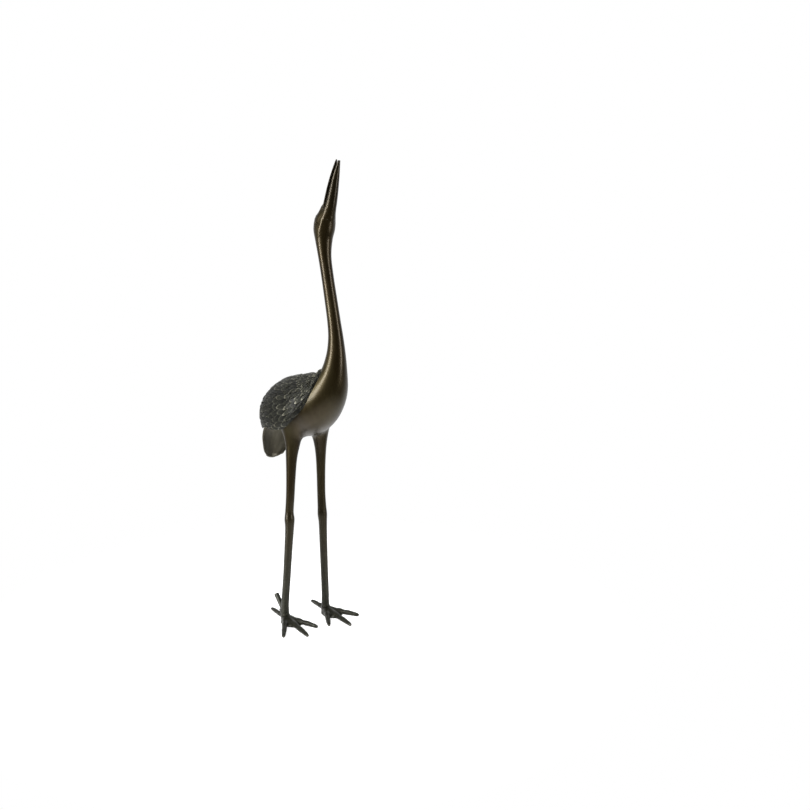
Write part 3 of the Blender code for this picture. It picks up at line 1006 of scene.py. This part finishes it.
def wear_and_shade_group():
    """Masks of worn edges with painted highlight, and of painted shade in the hollows, from how
    convex the surface is.
    """
    group, given, result = new_group(
        "edge_wear_and_shade", (("Start", 0.03), ("Width", 0.05)), ("Edge_Wear_And_Highlight", "Hollow_Shade")
    )
    nodes, links = group.nodes, group.links
    geometry = nodes.new("ShaderNodeNewGeometry")
    # Edge mask for rubbed metal with painted highlight, Hollow mask for painted shade
    for label, sign, share in (("Edge_Wear_And_Highlight", 1, 1.0), ("Hollow_Shade", -1, 0.3)):
        bent = nodes.new("ShaderNodeMath")
        bent.operation = "MULTIPLY_ADD"
        bent.inputs[1].default_value = sign
        bent.inputs[2].default_value = -0.5 * sign
        links.new(geometry.outputs["Pointiness"], bent.inputs[0])
        past = nodes.new("ShaderNodeMath")
        past.operation = "MULTIPLY_ADD"
        past.inputs[1].default_value = -share
        links.new(given.outputs["Start"], past.inputs[0])
        links.new(bent.outputs["Value"], past.inputs[2])
        mask = nodes.new("ShaderNodeMath")
        mask.operation = "DIVIDE"
        mask.use_clamp = True
        links.new(past.outputs["Value"], mask.inputs[0])
        links.new(given.outputs["Width"], mask.inputs[1])
        links.new(mask.outputs["Value"], result.inputs[label])
    return group


def add_ramp(nodes, links, value, stops):
    """Colour ramp from a value, with stops of position and colour."""
    ramp = nodes.new("ShaderNodeValToRGB")
    elements = ramp.color_ramp.elements
    while len(elements) < len(stops):
        elements.new(0.5)
    for element, (position, color) in zip(elements, stops):
        element.position = position
        element.color = (*color, 1)
    links.new(value, ramp.inputs["Fac"])
    return ramp.outputs["Color"]


def mix_colors(nodes, links, factor, first, second):
    """Mix of two colours by a factor from a socket."""
    mix = nodes.new("ShaderNodeMix")
    mix.data_type = "RGBA"
    links.new(factor, mix.inputs["Factor"])
    for socket, color in ((mix.inputs[6], first), (mix.inputs[7], second)):
        if isinstance(color, tuple):
            socket.default_value = (*color, 1)
        else:
            links.new(color, socket)
    return mix.outputs[2]


def map_value(nodes, links, value, low, high, to_low, to_high):
    """Value moved from one range to another, kept inside it."""
    node = nodes.new("ShaderNodeMapRange")
    node.inputs["From Min"].default_value = low
    node.inputs["From Max"].default_value = high
    node.inputs["To Min"].default_value = to_low
    node.inputs["To Max"].default_value = to_high
    links.new(value, node.inputs["Value"])
    return node.outputs["Result"]


def add_wear_and_shade(nodes, links, group, reach, color, hollow_shade, rubbed_and_highlight_share):
    """Colour with painted shade in the hollows and rubbed metal with painted highlight on the
    edges, by the shared wear and shade group.
    """
    node = nodes.new("ShaderNodeGroup")
    node.node_tree = group
    node.inputs["Start"].default_value, node.inputs["Width"].default_value = reach
    # Painted shade in the hollows
    color = mix_colors(nodes, links, node.outputs["Hollow_Shade"], color, hollow_shade)
    # Rubbed metal with painted highlight on the edges
    edges = map_value(nodes, links, node.outputs["Edge_Wear_And_Highlight"], 0.0, 1.0, 0.0, rubbed_and_highlight_share)
    return mix_colors(nodes, links, edges, color, RUBBED_AND_HIGHLIGHT)


def new_material(name, metallic):
    """Material with a Principled shader, its nodes and its links."""
    material = bpy.data.materials.new(name)
    material.use_nodes = True
    nodes, links = material.node_tree.nodes, material.node_tree.links
    shader = nodes["Principled BSDF"]
    shader.inputs["Metallic"].default_value = metallic
    return material, nodes, links, shader


def add_mottle(nodes, group, scale, stretch, grain):
    """The shared patina group with its values."""
    node = nodes.new("ShaderNodeGroup")
    node.node_tree = group
    node.inputs["Scale"].default_value = scale
    node.inputs["Stretch"].default_value = stretch
    node.inputs["Grain Scale"].default_value = grain
    return node


def add_bump(nodes, links, height, shader, distance, strength):
    """Bump from a height onto the shader's normal."""
    bump = nodes.new("ShaderNodeBump")
    bump.inputs["Distance"].default_value = distance
    bump.inputs["Strength"].default_value = strength
    links.new(height, bump.inputs["Height"])
    links.new(bump.outputs["Normal"], shader.inputs["Normal"])


def wax(shader, weight, roughness):
    """Thin satin wax over the patina."""
    shader.inputs["Specular IOR Level"].default_value = 0.25
    shader.inputs["Coat Weight"].default_value = weight
    shader.inputs["Coat Roughness"].default_value = roughness
    shader.inputs["Coat IOR"].default_value = 1.5


def smooth_bronze(group, wear_and_shade):
    """Satin brown patina of the body, turning grey-green and duller down the legs."""
    material, nodes, links, shader = new_material("smooth_bronze", METAL_SHARE)
    wax(shader, 0.25, 0.24)
    mottle = add_mottle(nodes, group, 11.0, 0.25, 700.0)
    body_color = add_ramp(
        nodes, links, mottle.outputs["Cloud"], ((0.0, UMBER), (0.45, BROWN), (1.0, OLIVE))
    )
    place = nodes.new("ShaderNodeTexCoord")
    axes = nodes.new("ShaderNodeSeparateXYZ")
    links.new(place.outputs["Object"], axes.inputs["Vector"])
    down_legs = map_value(nodes, links, axes.outputs["Z"], *LEG_FADE, 0.0, 1.0)
    leg_color = add_ramp(
        nodes, links, mottle.outputs["Speckle"], ((0.3, LEG_SHADE), (0.65, GREY_GREEN))
    )
    color = mix_colors(nodes, links, down_legs, body_color, leg_color)
    on_rump = map_value(nodes, links, axes.outputs["Y"], *RUMP_FADE, 0.0, 1.0)
    color = mix_colors(nodes, links, on_rump, color, SLATE)
    # Painted shade: the head and bill darken upward
    painted_head_shade = map_value(nodes, links, axes.outputs["Z"], *HEAD_SHADE_FADE, 0.0, 0.6)
    color = mix_colors(nodes, links, painted_head_shade, color, HEAD_PAINTED_SHADE)
    # Painted shade in the hollows, rubbed metal with painted highlight on the edges
    color = add_wear_and_shade(nodes, links, wear_and_shade, SKIN_WEAR_AND_SHADE, color, PAINTED_HOLLOW_SHADE, 0.6)
    links.new(color, shader.inputs["Base Color"])
    leg_rough = map_value(nodes, links, axes.outputs["Z"], *LEG_ROUGH_FADE, 0.0, 0.12)
    cloud_rough = map_value(nodes, links, mottle.outputs["Cloud"], 0.0, 1.0, 0.32, 0.40)
    total = nodes.new("ShaderNodeMath")
    total.operation = "ADD"
    links.new(leg_rough, total.inputs[0])
    links.new(cloud_rough, total.inputs[1])
    links.new(total.outputs["Value"], shader.inputs["Roughness"])
    add_bump(nodes, links, mottle.outputs["Grain"], shader, 0.00008, 0.2)
    return material


def feather_bronze(group, wear_and_shade):
    """Grey-green feathers: painted shade in the hollows, rubbed metal with painted highlight on
    the raised edges.
    """
    material, nodes, links, shader = new_material("feather_bronze", METAL_SHARE)
    wax(shader, 0.15, 0.35)
    mottle = add_mottle(nodes, group, 30.0, 1.0, 520.0)
    # Relief mask: painted shade at the feathers' roots, painted highlight with wear on their
    # raised places
    relief = nodes.new("ShaderNodeAttribute")
    relief.attribute_name = "relief"
    high = nodes.new("ShaderNodeMath")
    high.operation = "MULTIPLY_ADD"
    high.inputs[1].default_value = 0.45
    links.new(mottle.outputs["Speckle"], high.inputs[0])
    links.new(relief.outputs["Fac"], high.inputs[2])
    # Painted shade at the bottom of the ramp, rubbed metal with painted highlight at its top
    color = add_ramp(
        nodes, links, high.outputs["Value"],
        ((0.38, PAINTED_DEEP_SHADE), (0.66, SLATE), (0.92, GREY_GREEN), (1.0, RUBBED_AND_HIGHLIGHT)),
    )
    # Painted shade in the hollows, rubbed metal with painted highlight on the edges
    color = add_wear_and_shade(nodes, links, wear_and_shade, FEATHER_WEAR_AND_SHADE, color, PAINTED_DEEP_SHADE, 0.5)
    links.new(color, shader.inputs["Base Color"])
    roughness = map_value(nodes, links, high.outputs["Value"], 0.4, 1.05, 0.6, 0.36)
    links.new(roughness, shader.inputs["Roughness"])
    barb = nodes.new("ShaderNodeAttribute")
    barb.attribute_name = "barb"
    turns = nodes.new("ShaderNodeMath")
    turns.operation = "MULTIPLY"
    turns.inputs[1].default_value = 2 * math.pi
    links.new(barb.outputs["Fac"], turns.inputs[0])
    ridges = nodes.new("ShaderNodeMath")
    ridges.operation = "SINE"
    links.new(turns.outputs["Value"], ridges.inputs[0])
    total = nodes.new("ShaderNodeMath")
    total.operation = "MULTIPLY_ADD"
    total.inputs[1].default_value = 0.5
    links.new(ridges.outputs["Value"], total.inputs[0])
    links.new(mottle.outputs["Grain"], total.inputs[2])
    add_bump(nodes, links, total.outputs["Value"], shader, 0.0004, 0.6)
    return material


def dull_bronze(group, wear_and_shade, name, colors, roughness):
    """Evenly dull patina for small pieces and the tail."""
    material, nodes, links, shader = new_material(name, METAL_SHARE)
    wax(shader, 0.25, 0.3)
    mottle = add_mottle(nodes, group, 22.0, 0.5, 600.0)
    color = add_ramp(nodes, links, mottle.outputs["Cloud"], ((0.0, colors[0]), (1.0, colors[1])))
    # Painted shade in the hollows, rubbed metal with painted highlight on the edges
    color = add_wear_and_shade(nodes, links, wear_and_shade, SKIN_WEAR_AND_SHADE, color, PAINTED_DEEP_SHADE, 0.5)
    links.new(color, shader.inputs["Base Color"])
    rough = map_value(
        nodes, links, mottle.outputs["Speckle"], 0.3, 0.7, roughness - 0.05, roughness + 0.07
    )
    links.new(rough, shader.inputs["Roughness"])
    add_bump(nodes, links, mottle.outputs["Grain"], shader, 0.0002, 0.5)
    return material


def paint(obj, material):
    """Give a finished piece its material and its body."""
    obj.data.materials.clear()
    obj.data.materials.append(material)
    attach(obj, "root")


def make_floor():
    """Plain pale floor that fades into the white studio."""
    deselect()
    bpy.ops.mesh.primitive_circle_add(vertices=96, radius=FLOOR_RADIUS, fill_type="NGON")
    floor = bpy.context.object
    floor.name = "studio_floor"
    material, nodes, links, shader = new_material("pale_floor", 0.0)
    shader.inputs["Base Color"].default_value = (0.9, 0.9, 0.9, 1)
    shader.inputs["Roughness"].default_value = 0.9
    shader.inputs["Specular IOR Level"].default_value = 0.1
    shader.inputs["Emission Color"].default_value = (1, 1, 1, 1)
    shader.inputs["Emission Strength"].default_value = FLOOR_GLOW
    place = nodes.new("ShaderNodeTexCoord")
    reach = nodes.new("ShaderNodeVectorMath")
    reach.operation = "LENGTH"
    links.new(place.outputs["Object"], reach.inputs[0])
    solid = 0.3 * FLOOR_RADIUS
    fade = map_value(nodes, links, reach.outputs["Value"], solid, FLOOR_RADIUS, 1.0, 0.0)
    links.new(fade, shader.inputs["Alpha"])
    floor.data.materials.append(material)


def make_world():
    """White studio, with the side in front of the statue darker in its reflections."""
    world = bpy.data.worlds.new("studio")
    bpy.context.scene.world = world
    world.use_nodes = True
    nodes, links = world.node_tree.nodes, world.node_tree.links
    background = nodes["Background"]
    background.inputs["Color"].default_value = (1, 1, 1, 1)
    place = nodes.new("ShaderNodeTexCoord")
    front = nodes.new("ShaderNodeVectorMath")
    front.operation = "DOT_PRODUCT"
    front.inputs[1].default_value = DARK_SIDE
    links.new(place.outputs["Generated"], front.inputs[0])
    shade = nodes.new("ShaderNodeMapRange")
    shade.interpolation_type = "SMOOTHSTEP"
    shade.inputs["From Min"].default_value = -0.9
    shade.inputs["From Max"].default_value = 0.15
    shade.inputs["To Min"].default_value = 0.85
    shade.inputs["To Max"].default_value = 0.02
    links.new(front.outputs["Value"], shade.inputs["Value"])
    ray = nodes.new("ShaderNodeLightPath")
    strength = shade.outputs["Result"]
    for kind, level in (("Is Diffuse Ray", 0.5), ("Is Camera Ray", 1.0)):
        choice = nodes.new("ShaderNodeMix")
        choice.inputs["B"].default_value = level
        links.new(ray.outputs[kind], choice.inputs["Factor"])
        links.new(strength, choice.inputs["A"])
        strength = choice.outputs["Result"]
    links.new(strength, background.inputs["Strength"])


def add_softbox(name, place, width, height, power):
    """Rectangular area light at a place, aimed at the statue."""
    deselect()
    bpy.ops.object.light_add(type="AREA", location=place)
    light = bpy.context.object
    light.name = name
    light.data.shape = "RECTANGLE"
    light.data.size = width
    light.data.size_y = height
    light.data.energy = power
    toward = Vector(LIGHT_AIM) - Vector(place)
    light.rotation_euler = toward.to_track_quat("-Z", "Y").to_euler()


def make_camera():
    """Camera at the photograph's viewing angle."""
    deselect()
    place = Vector(CAMERA_PLACE) + Vector(SHIFT)
    bpy.ops.object.camera_add(
        location=place,
        rotation=(math.pi / 2 + CAMERA_PITCH, 0, -CAMERA_YAW),
    )
    camera = bpy.context.object
    camera.data.lens = CAMERA_LENS
    camera.data.sensor_width = 36
    bpy.context.scene.camera = camera


def main():
    """Build the pieces, paint them and set up the studio."""
    bpy.context.scene.view_settings.view_transform = "Standard"
    make_camera()
    body = make_body()
    mantle = make_mantle()
    tail = make_tail()
    eyes = make_eyes()
    pipe = make_pipe()

    mottle = mottle_group()
    wear_and_shade = wear_and_shade_group()
    body_finish = smooth_bronze(mottle, wear_and_shade)
    paint(body, body_finish)
    paint(mantle, feather_bronze(mottle, wear_and_shade))
    # The tail's colours are painted lighter for the floor light it reflects
    tail_finish = dull_bronze(mottle, wear_and_shade, "tail_bronze", TAIL_COLORS_WITH_REFLECTION, TAIL_ROUGHNESS)
    paint(tail, tail_finish)
    for eye in eyes:
        paint(eye, body_finish)
    pipe_finish = dull_bronze(mottle, wear_and_shade, "pipe_bronze", PIPE_COLORS, PIPE_ROUGHNESS)
    paint(pipe, pipe_finish)
    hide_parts("crane")
    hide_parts("water_inlet_pipe")

    make_floor()
    make_world()
    for softbox in SOFTBOXES:
        add_softbox(*softbox)


main()
